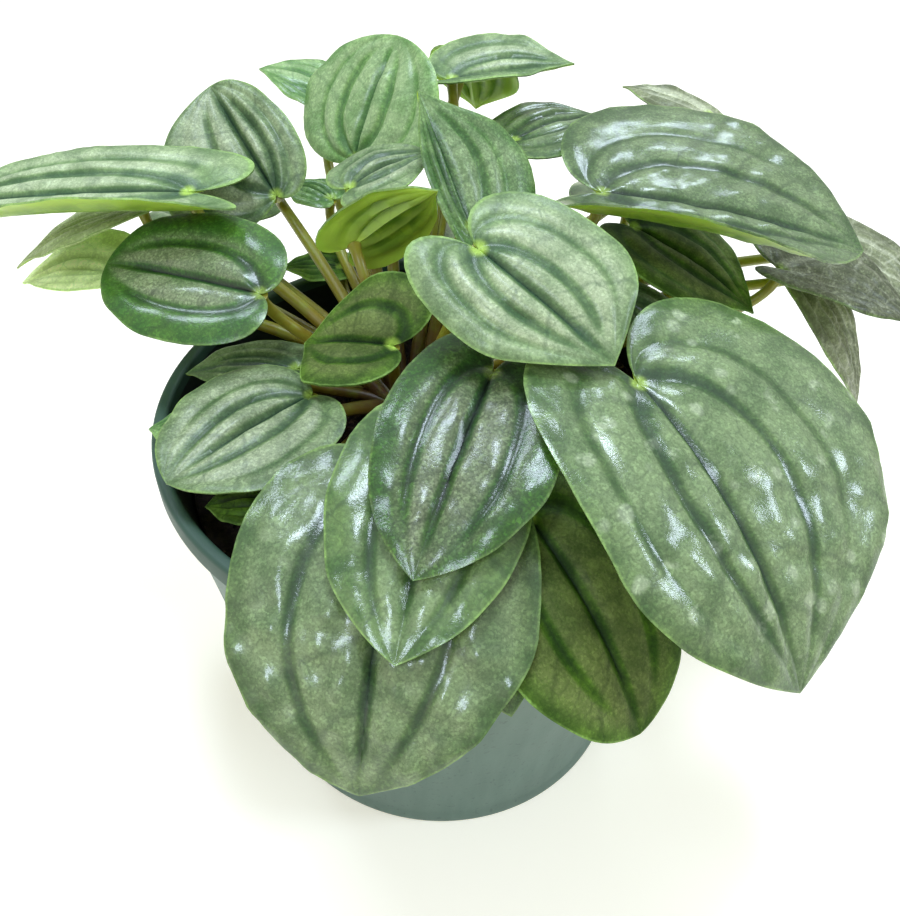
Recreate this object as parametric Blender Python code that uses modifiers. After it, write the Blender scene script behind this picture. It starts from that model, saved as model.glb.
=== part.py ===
"""Potted frost peperomia in a 110 mm nursery pot.

Origin: the middle of the pot's foot, on the surface it stands on. +Z is up and -Y faces the viewer.
Pieces: the pot, the soil that fills it, one body of crown and leaf stalks, and each leaf blade.
"""
import math

import bmesh
import bpy
import numpy as np

MM = 0.001

# Pot, in millimetres: the rolled rim, the tapered wall, the foot ring and the pad inside it
RIM_RADIUS = 55.0
RIM_WIDTH = 2.6
RIM_DEPTH = 5.0
POT_HEIGHT = 86.0
WALL_TOP_RADIUS = 52.8
WALL_FOOT_RADIUS = 42.0
WALL = 1.7
FLOOR_UNDERSIDE = 1.2
FLOOR_TOP = 3.2
FOOT_RADIUS = 42.6
FOOT_WIDTH = 4.0
FOOT_HEIGHT = 1.6
PAD_RADIUS = 18.0
RIM_ROUND = 0.5
FOOT_ROUND = 0.3
POT_STEPS = 40
DRAIN_HOLES = 6
DRAIN_RADIUS = 3.2
DRAIN_CIRCLE = 28.0

# Soil: it lies one gap inside the pot, with a mounded, crumbly top
GAP = 0.3
SOIL_TOP = 74.0
SOIL_RINGS = 7
SOIL_STEPS = 28
SOIL_SHOULDER = 1.5
SOIL_LUMPS = 0.7

# Crown: the short stem that every leaf stalk grows from
CROWN = (-8.0, 10.0)
CROWN_RADIUS = 6.5
CROWN_TOP = 80.0
CROWN_FOOT = 64.0
CROWN_CUT = 0.6
STALK_CIRCLE = 4.0
STALK_START = 77.0
STALK_RADIUS = 1.4
STALK_TIP_RADIUS = 1.05
STALK_SWEEP = 0.4
STALK_STEPS = 6

# Leaf blades
BLADE_THICKNESS = 0.8
VEINS_EACH_SIDE = 3
WIDEST_ROW = 0.42
PLEAT_LOSS = 0.45
PLEAT_LEAN = 0.8

# Points closer than this are one point
WELD = 0.01

# Each blade: seat is where its stalk meets it, heading the compass way it points (degrees from +X),
# pitch its rise, roll its lean to its own left. The two sides fold up from the midrib and curl back
# down, and bend droops the blade from seat to tip, all in degrees, where 0.1 means straight. left and
# right scale the half widths, and skew slides the left side on towards the tip. arch and reach are how
# far a stalk rises first and comes in from below.
LEAF_DEFAULTS = dict(
    heading=0, pitch=0, roll=0, length=40, width=36, left=1.0, right=1.0,
    lobe=0.2, widest=0.33, point=0.2, blunt=0.34, pleat=1.2,
    fold_left=12, fold_right=12, curl_left=20, curl_right=20, fade=0.4,
    bend=20, back=-5, skew=0, arch=0.5, reach=0.25, rows=6, columns=6,
)
LARGE = dict(rows=8, columns=12)

LEAVES = {
    # The big front leaves, over the rim
    "leaf_01": dict(LARGE, seat=(29, -27, 112), heading=-54.5, pitch=-12, roll=-2, length=52.5,
                    width=64, left=1.08, right=0.7, bend=48, fold_left=6, fold_right=6, curl_left=14,
                    curl_right=14, lobe=0.25, widest=0.4, point=0.12, blunt=0.42),
    "leaf_02": dict(LARGE, seat=(4.5, -13.5, 126.5), heading=-37, pitch=-18, roll=21, length=27,
                    width=32.5, left=1.0, right=0.8, bend=12, skew=0.2, fold_left=8, fold_right=8,
                    lobe=0.27, widest=0.38, point=0.12),
    "leaf_03": dict(LARGE, seat=(7, -25, 112), heading=-110, pitch=-10, length=35, width=30,
                    right=0.86, bend=22, fold_left=8, fold_right=14, curl_left=10, curl_right=10,
                    point=0.12, blunt=0.62),
    "leaf_04": dict(LARGE, seat=(0, -31, 104), heading=-101, pitch=-8, length=36, width=30, bend=25,
                    point=0.14, blunt=0.62),
    "leaf_05": dict(LARGE, seat=(-7, -40, 98), heading=-98, pitch=-10, length=44, width=47, left=0.97,
                    right=0.98, bend=58, fold_left=8, fold_right=8, curl_left=16, curl_right=16,
                    lobe=0.24, widest=0.36, point=0.08, blunt=0.42),
    "leaf_06": dict(LARGE, seat=(13, -38, 94), heading=-54, pitch=-14, length=38, width=32, right=1.1,
                    bend=45, point=0.06, blunt=0.6),
    "leaf_07": dict(seat=(0, -39, 90.5), heading=-68, pitch=12, length=31, width=26, bend=66,
                    lobe=0.05, fold_left=6, fold_right=6, blunt=0.5),
    # Left side
    "leaf_08": dict(LARGE, seat=(-24, -9, 94), heading=-136, pitch=2, length=30, width=30, bend=12,
                    lobe=0.08, widest=0.42, point=0.04, blunt=0.6),
    "leaf_09": dict(LARGE, seat=(-34, 5, 106), heading=163, pitch=4, roll=-24, length=33, width=31,
                    left=0.9, right=0.95, bend=12, lobe=0.12, widest=0.42, point=0.04, blunt=0.6),
    "leaf_10": dict(LARGE, seat=(-50, 26, 115), heading=174, pitch=-3, roll=-14, length=62, width=42,
                    left=0.8, right=0.72, bend=12, fold_left=4, fold_right=4, curl_left=-75,
                    curl_right=14, fade=0.35, lobe=0.2, widest=0.28),
    "leaf_11": dict(seat=(-63, 35, 107), heading=-166, pitch=-9, roll=12, length=29, width=26,
                    bend=24),
    "leaf_12": dict(seat=(-69, 29, 95), heading=176, length=22, width=24, left=0.7, bend=20,
                    fold_left=20, fold_right=30, arch=0.9, reach=0.1),
    "leaf_13": dict(LARGE, seat=(-35, 35, 110), heading=133, pitch=38, roll=-30, length=29, width=33,
                    left=1.22, right=0.62, bend=20, pleat=1.5, skew=-0.1, lobe=0.1, point=0.05,
                    blunt=0.6),
    # Top and middle
    "leaf_14": dict(LARGE, seat=(-20, 48, 112), heading=56, pitch=60, roll=-14, length=26, width=42,
                    bend=10, pleat=1.8, lobe=0.1, widest=0.42, point=0.04, blunt=0.6),
    "leaf_15": dict(seat=(-26, 71, 113), heading=165, pitch=32, length=20, width=30, left=0.45,
                    blunt=0.6),
    "leaf_16": dict(seat=(0, 56, 126), heading=2, pitch=8, length=25.5, width=23, right=0.45, bend=0.1,
                    fold_left=30, curl_left=0.1, curl_right=0.1, lobe=0.2, arch=0),
    "leaf_17": dict(seat=(4, 68, 126), heading=66, pitch=-70, length=13, width=22, bend=0.1, arch=0),
    "leaf_18": dict(LARGE, seat=(4, 20, 112), heading=124, pitch=47, length=27, width=34, left=0.3,
                    bend=0.1),
    "leaf_19": dict(seat=(-19, 27, 116), heading=24, pitch=24, length=18, width=20, arch=0.2),
    "leaf_20": dict(seat=(-18, 18, 109), heading=0, pitch=44, roll=-62, length=21, width=24,
                    right=0.75, lobe=0.25),
    "leaf_21": dict(seat=(-10, 1, 98), heading=172, pitch=5, length=17, width=28, skew=0.35,
                    fold_left=0.1, fold_right=54, curl_left=0.1, curl_right=0.1, pleat=0.8, lobe=0.25),
    "leaf_22": dict(seat=(-26, 12, 82), heading=165, pitch=4, length=16, width=14),
    "leaf_23": dict(seat=(-23.5, 41, 90), heading=180, pitch=8, length=14, width=13),
    "leaf_24": dict(seat=(-29, 4, 90), heading=178, pitch=4, length=22, width=16, fold_left=16,
                    fold_right=16),
    "leaf_25": dict(seat=(-30, -25, 84), heading=-178, length=12, width=13),
    "leaf_26": dict(seat=(-43, -14, 90), heading=170, length=11, width=10),
    # Right side
    "leaf_27": dict(LARGE, seat=(28.5, 23, 118), heading=-10, pitch=0, roll=8, length=50, width=62,
                    left=0.97, right=0.66, bend=16, fold_left=9, fold_right=0.1, curl_left=6,
                    curl_right=-68, fade=0.35, point=0.08, blunt=0.46),
    "leaf_28": dict(seat=(13, 45, 118), heading=35, pitch=10, length=24, width=26, left=0.8,
                    fold_left=14, fold_right=14),
    "leaf_29": dict(seat=(56, 60, 118), heading=160, pitch=20, length=20, width=20, right=0.5,
                    arch=1.0),
    "leaf_30": dict(LARGE, seat=(38, 34, 105), heading=-26, pitch=-14, length=30.5, width=33),
    "leaf_31": dict(LARGE, seat=(68, 27, 100), heading=-8, pitch=-8, length=34, width=44, right=0.35,
                    bend=24, pleat=1.6, arch=0.12, reach=0.2),
    "leaf_32": dict(seat=(88, 50, 94), heading=-20, pitch=-16, length=30, width=28, arch=1.0,
                    reach=0.06),
    "leaf_33": dict(seat=(76, 35, 94), heading=-26, pitch=-40, length=36, width=26, bend=30, pleat=1.6,
                    arch=0.8, reach=0.06),
    "leaf_34": dict(seat=(36, 20, 96), heading=-34, pitch=-16, length=18, width=18),
    # Behind, over the back rim, and small ones seen between the stalks
    "leaf_35": dict(LARGE, seat=(9, 44, 96), heading=80, pitch=-6, length=36, width=32, bend=50),
    "leaf_36": dict(LARGE, seat=(-48, 48, 98), heading=130, pitch=0, length=34, width=30, bend=45),
    "leaf_37": dict(LARGE, seat=(40, 52, 99), heading=58, pitch=-5, length=36, width=34, bend=45),
    "leaf_38": dict(seat=(-26, 48, 103), heading=150, pitch=10, length=12, width=12),
}


def bezier(points, t):
    """Cubic Bezier through plane points, at an array of t."""
    t = np.asarray(t)[..., None]
    a, b, c, d = (np.array(point, float) for point in points)
    return (1 - t) ** 3 * a + 3 * (1 - t) ** 2 * t * b + 3 * (1 - t) * t**2 * c + t**3 * d


def margin(s, leaf):
    """Half outline of the flat blade with a half width of 1, from the seat (s=0) round to the tip."""
    length = leaf["length"]
    widest = leaf["widest"] * length
    lobe = leaf["lobe"] * length
    base = ((0, 0), (-1.3 * lobe, 0.1), (-1.6 * lobe, 1), (widest, 1))
    top = (
        (widest, 1),
        (widest + 0.5 * (length - widest), 1),
        (length * (1 - leaf["point"]), leaf["blunt"]),
        (length, 0),
    )
    on_base = bezier(base, np.clip(s / WIDEST_ROW, 0, 1))
    on_top = bezier(top, np.clip((s - WIDEST_ROW) / (1 - WIDEST_ROW), 0, 1))
    return np.where((s < WIDEST_ROW)[..., None], on_base, on_top)


def frame(leaf):
    """Columns: the way the blade points, its left, and its upper side."""
    heading, pitch, roll = (math.radians(leaf[key]) for key in ("heading", "pitch", "roll"))
    ahead = np.array(
        (math.cos(heading) * math.cos(pitch), math.sin(heading) * math.cos(pitch), math.sin(pitch))
    )
    level_left = np.array((-math.sin(heading), math.cos(heading), 0.0))
    left = level_left * math.cos(roll) + np.cross(ahead, level_left) * math.sin(roll)
    return np.stack((ahead, left, np.cross(ahead, left)), axis=1)


def blade_points(s, t, leaf):
    """Upper side of a blade in mm. s runs from seat to tip along each vein, t from -1 (right) to 1."""
    length = leaf["length"]
    out = np.abs(t)
    side = np.where(t >= 0, leaf["left"], leaf["right"])
    half = leaf["width"] / 2 * side
    edge = margin(s, leaf)
    along = (1 - out) * length * s + out * edge[..., 0]
    across = out * edge[..., 1]
    along = along + leaf["skew"] * half * across * np.sign(t)

    # Veins lie in grooves between puffed pleats, which fade at the seat and the tip
    swell = np.clip(np.sin(math.pi * s), 0, 1) ** 0.7
    pleat = leaf["pleat"] * np.abs(np.sin(VEINS_EACH_SIDE * math.pi * out)) ** 0.8
    height = pleat * (1 - PLEAT_LOSS * out) * swell

    # Fold up from the midrib, then curl back down towards the margin
    fade = 1 - leaf["fade"] * s
    fold = np.radians(np.where(t >= 0, leaf["fold_left"], leaf["fold_right"])) * fade
    curl = np.radians(np.where(t >= 0, leaf["curl_left"], leaf["curl_right"])) * fade
    slope = fold - curl * across
    y = half / curl * (np.sin(fold) - np.sin(slope)) - PLEAT_LEAN * height * np.sin(slope)
    z = half / curl * (np.cos(slope) - np.cos(fold)) + height * np.cos(slope)
    y = y * np.sign(t)

    # Droop from seat to tip on an arc
    bend = np.radians(np.where(along >= 0, leaf["bend"], leaf["back"]))
    angle = bend * along / length
    x = length / bend * np.sin(angle) + z * np.sin(angle)
    z = length / bend * (np.cos(angle) - 1) + z * np.cos(angle)
    return np.stack((x, y, z), axis=-1) @ frame(leaf).T + np.array(leaf["seat"], float)


def material(name, hex_colour, roughness):
    """Principled material from an sRGB hex colour."""
    channels = [int(hex_colour[i : i + 2], 16) / 255 for i in (0, 2, 4)]
    linear = [c / 12.92 if c <= 0.04045 else ((c + 0.055) / 1.055) ** 2.4 for c in channels]
    made = bpy.data.materials.new(name)
    made.use_nodes = True
    shader = made.node_tree.nodes["Principled BSDF"]
    shader.inputs["Base Color"].default_value = (*linear, 1)
    shader.inputs["Roughness"].default_value = roughness
    return made


def add_object(name, mesh, look, collection):
    made = bpy.data.objects.new(name, mesh)
    mesh.materials.append(look)
    collection.objects.link(made)
    return made


def apply_modifiers(thing):
    bpy.ops.object.select_all(action="DESELECT")
    thing.select_set(True)
    bpy.context.view_layer.objects.active = thing
    bpy.ops.object.convert(target="MESH")


def cut_or_join(target, others, operation, solver):
    """Boolean with each of the others, applied. The others are used up."""
    for other in others:
        step = target.modifiers.new(operation.lower(), "BOOLEAN")
        step.operation = operation
        step.solver = solver
        step.object = other
    apply_modifiers(target)
    for other in others:
        bpy.data.objects.remove(other)


def turned(name, profile, steps, look, collection):
    """Solid turned about Z. The profile runs in the XZ plane, down its outer side, in mm."""
    mesh = bpy.data.meshes.new(name)
    outline = bmesh.new()
    points = [outline.verts.new((x * MM, 0, z * MM)) for x, z in profile]
    for first, second in zip(points, points[1:]):
        outline.edges.new((first, second))
    outline.to_mesh(mesh)
    outline.free()
    made = add_object(name, mesh, look, collection)
    screw = made.modifiers.new("turn", "SCREW")
    screw.steps = screw.render_steps = steps
    screw.use_merge_vertices = True
    screw.merge_threshold = WELD * MM
    apply_modifiers(made)
    return made


def cylinder(name, radius, low, high, place, collection):
    """Cutter between two heights at a place in plan, in mm."""
    mesh = bpy.data.meshes.new(name)
    body = bmesh.new()
    depth = (high - low) * MM
    centre = (place[0] * MM, place[1] * MM, (high + low) / 2 * MM)
    bmesh.ops.create_cone(
        body, cap_ends=True, segments=16, radius1=radius * MM, radius2=radius * MM, depth=depth
    )
    bmesh.ops.translate(body, verts=body.verts, vec=centre)
    body.to_mesh(mesh)
    body.free()
    made = bpy.data.objects.new(name, mesh)
    collection.objects.link(made)
    return made


def wall_radius(z, inset):
    """Radius of the pot's wall at a height, less an inset."""
    share = (z - FLOOR_TOP) / (POT_HEIGHT - RIM_DEPTH - FLOOR_TOP)
    return WALL_FOOT_RADIUS + (WALL_TOP_RADIUS - WALL_FOOT_RADIUS) * share - inset


def make_pot(look, collection, cutters):
    lip = POT_HEIGHT - RIM_DEPTH
    profile = [
        (RIM_RADIUS - RIM_WIDTH, POT_HEIGHT - RIM_ROUND),
        (RIM_RADIUS - RIM_WIDTH + RIM_ROUND, POT_HEIGHT),
        (RIM_RADIUS - RIM_ROUND, POT_HEIGHT),
        (RIM_RADIUS, POT_HEIGHT - RIM_ROUND),
        (RIM_RADIUS, lip + RIM_ROUND),
        (RIM_RADIUS - RIM_ROUND, lip),
        (WALL_TOP_RADIUS, lip - RIM_ROUND),
        (wall_radius(FLOOR_TOP, 0), FLOOR_TOP),
        (FOOT_RADIUS, FOOT_HEIGHT),
        (FOOT_RADIUS, FOOT_ROUND),
        (FOOT_RADIUS - FOOT_ROUND, 0),
        (FOOT_RADIUS - FOOT_WIDTH, 0),
        (FOOT_RADIUS - FOOT_WIDTH - RIM_ROUND, FLOOR_UNDERSIDE),
        (PAD_RADIUS + RIM_ROUND, FLOOR_UNDERSIDE),
        (PAD_RADIUS, 0),
        (0, 0),
        (0, FLOOR_TOP),
        (wall_radius(FLOOR_TOP, WALL), FLOOR_TOP),
        (wall_radius(lip, WALL), lip),
        (RIM_RADIUS - RIM_WIDTH, POT_HEIGHT - RIM_ROUND),
    ]
    pot = turned("pot", profile, POT_STEPS, look, collection)
    drains = []
    for hole in range(DRAIN_HOLES):
        angle = 2 * math.pi * hole / DRAIN_HOLES
        place = (DRAIN_CIRCLE * math.cos(angle), DRAIN_CIRCLE * math.sin(angle))
        drains.append(cylinder(f"drain_{hole}", DRAIN_RADIUS, 0, FLOOR_TOP + 1, place, cutters))
    cut_or_join(pot, drains, "DIFFERENCE", "EXACT")


def make_soil(look, collection, cutters):
    """Fill from the pot's floor up, with a crumbly top, and a plain hole that the crown stands in."""
    inset = WALL + GAP
    top = wall_radius(SOIL_TOP, inset) - GAP
    rings = [(top * ring / SOIL_RINGS, SOIL_TOP) for ring in range(SOIL_RINGS, -1, -1)]
    profile = list(reversed(rings)) + [
        (wall_radius(SOIL_TOP - SOIL_SHOULDER, inset), SOIL_TOP - SOIL_SHOULDER),
        (wall_radius(FLOOR_TOP + GAP, inset), FLOOR_TOP + GAP),
        (0, FLOOR_TOP + GAP),
    ]
    soil = turned("soil", profile, SOIL_STEPS, look, collection)
    for vertex in soil.data.vertices:
        x, y, z = (c / MM for c in vertex.co)
        if z > SOIL_TOP - 0.1:
            lumps = math.sin(0.55 * x + 1.3) * math.cos(0.6 * y) + 0.5 * math.sin(1.1 * x - 0.9 * y)
            vertex.co.z = (z + SOIL_LUMPS * (lumps - 0.6)) * MM
    hole = cylinder("hole", CROWN_RADIUS + GAP, CROWN_FOOT - GAP, CROWN_TOP, CROWN, cutters)
    cut_or_join(soil, [hole], "DIFFERENCE", "EXACT")


def stalk_curve(leaf):
    """Bezier points of a leaf's stalk in mm: its start on the crown, two handles and its top end."""
    upper = frame(leaf)[:, 2]
    seat = np.array(leaf["seat"], float)
    end = seat - upper * (BLADE_THICKNESS + GAP)
    way = seat[:2] - np.array(CROWN)
    reach = np.linalg.norm(way)
    root = np.array((*(np.array(CROWN) + way / max(reach, 1) * STALK_CIRCLE), STALK_START))
    span = np.linalg.norm(end - root)
    start = (end - root) / span + np.array((0, 0, leaf["arch"]))
    start = start / np.linalg.norm(start)
    return root, root + start * span * STALK_SWEEP, end - upper * span * leaf["reach"], end


def make_stalk(name, leaf, cutters):
    """Tapered tube from the crown to just under a blade, as a closed mesh."""
    root, leave, arrive, end = stalk_curve(leaf)
    curve = bpy.data.curves.new(name, "CURVE")
    curve.dimensions = "3D"
    curve.resolution_u = STALK_STEPS
    curve.bevel_depth = STALK_RADIUS * MM
    curve.bevel_resolution = 1
    curve.use_fill_caps = True
    spline = curve.splines.new("BEZIER")
    spline.bezier_points.add(1)
    ends = (
        (root, root * 2 - leave, leave, 1.0),
        (end, arrive, end * 2 - arrive, STALK_TIP_RADIUS / STALK_RADIUS),
    )
    for point, (place, before, after, radius) in zip(spline.bezier_points, ends):
        point.handle_left_type = point.handle_right_type = "FREE"
        point.co = place * MM
        point.handle_left = before * MM
        point.handle_right = after * MM
        point.radius = radius
    tube = bpy.data.objects.new(name, curve)
    cutters.objects.link(tube)
    weld = tube.modifiers.new("weld", "WELD")
    weld.merge_threshold = WELD * MM
    apply_modifiers(tube)
    return tube


def make_stems(look, collection, cutters):
    """The crown and all stalks, joined as one body."""
    mesh = bpy.data.meshes.new("stems")
    crown = bmesh.new()
    bmesh.ops.create_uvsphere(crown, u_segments=14, v_segments=8, radius=CROWN_RADIUS * MM)
    for vertex in crown.verts:
        vertex.co.z = max(vertex.co.z, -CROWN_CUT * CROWN_RADIUS * MM)
        share = (vertex.co.z / (CROWN_RADIUS * MM) + CROWN_CUT) / (1 + CROWN_CUT)
        vertex.co.z = (CROWN_FOOT + share * (CROWN_TOP - CROWN_FOOT)) * MM
        vertex.co.x += CROWN[0] * MM
        vertex.co.y += CROWN[1] * MM
    bmesh.ops.dissolve_degenerate(crown, dist=WELD * MM, edges=crown.edges)
    crown.to_mesh(mesh)
    crown.free()
    stems = add_object("stems", mesh, look, collection)
    stalks = [
        make_stalk("stalk_" + name[-2:], dict(LEAF_DEFAULTS, **row), cutters)
        for name, row in LEAVES.items()
    ]
    cut_or_join(stems, stalks, "UNION", "MANIFOLD")


def make_blade(name, leaf, look, collection):
    """A grid bent into the blade's upper side, triangulated alike on both faces, and thickened below."""
    mesh = bpy.data.meshes.new(name)
    sheet = bmesh.new()
    bmesh.ops.create_grid(sheet, x_segments=leaf["rows"], y_segments=leaf["columns"], size=1)
    flat = np.array([vertex.co[:] for vertex in sheet.verts])
    bent = blade_points((flat[:, 0] + 1) / 2, flat[:, 1], leaf)
    for vertex, place in zip(sheet.verts, bent):
        vertex.co = place * MM
    bmesh.ops.remove_doubles(sheet, verts=sheet.verts, dist=2 * WELD * MM)
    bmesh.ops.triangulate(sheet, faces=sheet.faces, quad_method="SHORT_EDGE")
    sheet.to_mesh(mesh)
    sheet.free()
    blade = add_object(name, mesh, look, collection)
    thick = blade.modifiers.new("thickness", "SOLIDIFY")
    thick.thickness = BLADE_THICKNESS * MM
    thick.offset = -1
    apply_modifiers(blade)


def main():
    for thing in list(bpy.data.objects):
        bpy.data.objects.remove(thing)
    plant = bpy.data.collections.new("potted_frost_peperomia")
    cutters = bpy.data.collections.new("cutters")
    bpy.context.scene.collection.children.link(plant)
    bpy.context.scene.collection.children.link(cutters)

    make_pot(material("pot_plastic", "35584C", 0.5), plant, cutters)
    make_soil(material("soil", "2A211B", 0.95), plant, cutters)
    make_stems(material("stem_green", "8C8A45", 0.45), plant, cutters)
    look = material("leaf_silver_green", "7E9A78", 0.4)
    for name, row in LEAVES.items():
        make_blade(name, dict(LEAF_DEFAULTS, **row), look, plant)
    bpy.data.collections.remove(cutters)


main()
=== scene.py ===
"""Potted frost peperomia: pleated silver-green leaves on fleshy stalks, in a 110 mm nursery pot."""
import math

import bpy
import numpy as np
from mathutils import Matrix, Vector, noise


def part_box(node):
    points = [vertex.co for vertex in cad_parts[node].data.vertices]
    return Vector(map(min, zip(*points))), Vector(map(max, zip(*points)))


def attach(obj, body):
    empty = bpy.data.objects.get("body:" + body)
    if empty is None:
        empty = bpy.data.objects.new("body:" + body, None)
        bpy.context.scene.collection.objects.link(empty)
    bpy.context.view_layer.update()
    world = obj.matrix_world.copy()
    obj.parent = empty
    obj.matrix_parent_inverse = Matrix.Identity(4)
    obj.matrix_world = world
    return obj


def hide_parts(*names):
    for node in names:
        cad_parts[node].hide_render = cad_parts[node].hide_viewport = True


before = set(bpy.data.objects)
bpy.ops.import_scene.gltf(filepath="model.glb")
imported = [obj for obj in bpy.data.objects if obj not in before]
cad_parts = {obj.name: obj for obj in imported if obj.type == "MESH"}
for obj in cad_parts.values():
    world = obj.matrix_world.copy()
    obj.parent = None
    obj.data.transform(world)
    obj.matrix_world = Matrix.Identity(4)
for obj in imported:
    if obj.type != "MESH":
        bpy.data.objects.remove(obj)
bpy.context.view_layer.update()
bpy.ops.object.select_all(action="DESELECT")
MM = 0.001

# Camera: held in front of the pot and above it, looking down into the plant, with a slight lean.
# The lens is a little wider than a standard one, so the near leaves look large.
CAMERA_PLACE = (0.0, -134.1, 195.7)
CAMERA_TILT = 47.08
CAMERA_TURN = -0.434
CAMERA_LEAN = 1.29
CAMERA_LENS = 35.37
CAMERA_SENSOR = 36.0

bpy.ops.object.camera_add()
camera = bpy.context.object
camera.name = "photo_camera"
aim = (
    Matrix.Translation(Vector(CAMERA_PLACE) * MM)
    @ Matrix.Rotation(math.radians(CAMERA_TURN), 4, "Z")
    @ Matrix.Rotation(math.radians(CAMERA_TILT), 4, "X")
    @ Matrix.Rotation(math.radians(CAMERA_LEAN), 4, "Z")
)
camera.matrix_world = aim
camera.data.lens = CAMERA_LENS
camera.data.sensor_width = CAMERA_SENSOR
camera.data.clip_start = 5 * MM
bpy.context.scene.camera = camera


# Pot: a round tapered nursery pot, injection-moulded in dark green polypropylene, with a thick
# rolled rim to lift it by, a foot ring and six drain holes. Water and handling have dulled the
# plastic, so it shows a chalky bloom outside. Inside it is painted near-black and the rim a darker band,
# both painted shade.
RIM_WIDTH = 2.6
RIM_DEPTH = 5.0
RIM_ROUND = 0.9
WALL_TOP_RADIUS = 52.8
WALL_FOOT_RADIUS = 42.0
WALL = 1.7
FLOOR_UNDERSIDE = 1.2
FLOOR_TOP = 3.2
FOOT_WIDTH = 4.0
FOOT_HEIGHT = 1.6
FOOT_FLARE = 0.6
FOOT_CHAMFER = 0.4
PAD_RADIUS = 18.0
DRAIN_HOLES = 6
DRAIN_RADIUS = 3.2
DRAIN_CIRCLE = 28.0
POT_SIDES = 160
HOLE_SIDES = 28
SHARP_EDGE = 35
POT_GREEN = "4D655A"
POT_BLOOM = "60776B"
POT_DUST_AND_SHADE = "0E1A14"
POT_RIM_SHADE = "2F4A3C"
BLOOM_CLOUD = 22.2
RUN_WIDTH = 3.85
RUN_LENGTH = 38.5
PEAT_SPECK = 1.11
RIM_BLUR = 0.3

rim_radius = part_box("pot")[1].x / MM
pot_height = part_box("pot")[1].z / MM
lip = pot_height - RIM_DEPTH

# Settings of the nodes that the finishes share: a smooth step, a product and a mix of colours
SMOOTH = {"interpolation_type": "SMOOTHSTEP"}
TIMES = {"operation": "MULTIPLY", "use_clamp": True}
COLOURS = {"data_type": "RGBA"}


def srgb(code):
    """Linear colour from an sRGB hex value."""
    channels = [int(code[i : i + 2], 16) / 255 for i in (0, 2, 4)]
    return (*[c / 12.92 if c <= 0.04045 else ((c + 0.055) / 1.055) ** 2.4 for c in channels], 1)


def lay(tree, kind, settings, inputs, out=0):
    """Adds one shader node and gives back an output of it. Each input is a value or another output."""
    made = tree.nodes.new("ShaderNode" + kind)
    for name, value in settings.items():
        setattr(made, name, value)
    for socket, value in inputs.items():
        if isinstance(value, bpy.types.NodeSocket):
            tree.links.new(value, made.inputs[socket])
        else:
            made.inputs[socket].default_value = value
    return made.outputs[out]


def new_finish(name):
    """A new material: itself, its node tree, its shader and the place that its patterns read."""
    finish = bpy.data.materials.new(name)
    finish.use_nodes = True
    tree = finish.node_tree
    return finish, tree, tree.nodes["Principled BSDF"], lay(tree, "TexCoord", {}, {}, "Object")


def layered(tree, base, layers):
    """Colours laid one over another on a base colour. A layer covers by the product of its parts. A
    part is a share, or a value, the range it is read over, and the shares at the range's two ends."""
    base = srgb(base)
    for parts, colour in layers:
        covers = 1
        for part in parts:
            if isinstance(part, tuple):
                part = lay(tree, "MapRange", SMOOTH, dict(enumerate(part)))
            covers = lay(tree, "Math", TIMES, {0: covers, 1: part})
        base = lay(tree, "Mix", COLOURS, {0: covers, 6: base, 7: srgb(colour)}, 2)
    return base


def arc(centre, radius, start, end, steps):
    """Points of a quarter or half round, for a turned profile."""
    angles = np.radians(np.linspace(start, end, steps))
    return [(centre[0] + radius * math.cos(a), centre[1] + radius * math.sin(a)) for a in angles]


def wall_radius(height, inset):
    """Radius of the pot's wall at a height, less an inset."""
    share = (height - FLOOR_TOP) / (lip - FLOOR_TOP)
    return WALL_FOOT_RADIUS + (WALL_TOP_RADIUS - WALL_FOOT_RADIUS) * share - inset


def turn_up(name, rings, sides):
    """A circle extruded from ring to ring, each a radius and a height, with both ends filled."""
    radius, height = rings[0]
    bpy.ops.mesh.primitive_circle_add(
        vertices=sides, radius=radius * MM, location=(0, 0, height * MM), enter_editmode=True
    )
    for wide, high in rings[1:]:
        bpy.ops.mesh.extrude_edges_move(TRANSFORM_OT_translate={"value": (0, 0, (high - height) * MM)})
        bpy.ops.transform.resize(value=(wide / radius, wide / radius, 1), center_override=(0, 0, 0))
        radius, height = wide, high
    bpy.ops.mesh.select_all(action="SELECT")
    bpy.ops.mesh.fill_holes(sides=0)
    bpy.ops.mesh.normals_make_consistent(inside=False)
    bpy.ops.object.mode_set(mode="OBJECT")
    bpy.ops.object.transform_apply(location=True, rotation=True, scale=True)
    made = bpy.context.object
    made.name = name
    return made


def cut_away(piece, cutter):
    """Cuts one piece out of another, and uses the cutter up."""
    cut = piece.modifiers.new("cut", "BOOLEAN")
    cut.object = cutter
    bpy.ops.object.select_all(action="DESELECT")
    piece.select_set(True)
    bpy.context.view_layer.objects.active = piece
    bpy.ops.object.modifier_apply(modifier=cut.name)
    bpy.data.objects.remove(cutter)


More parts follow.
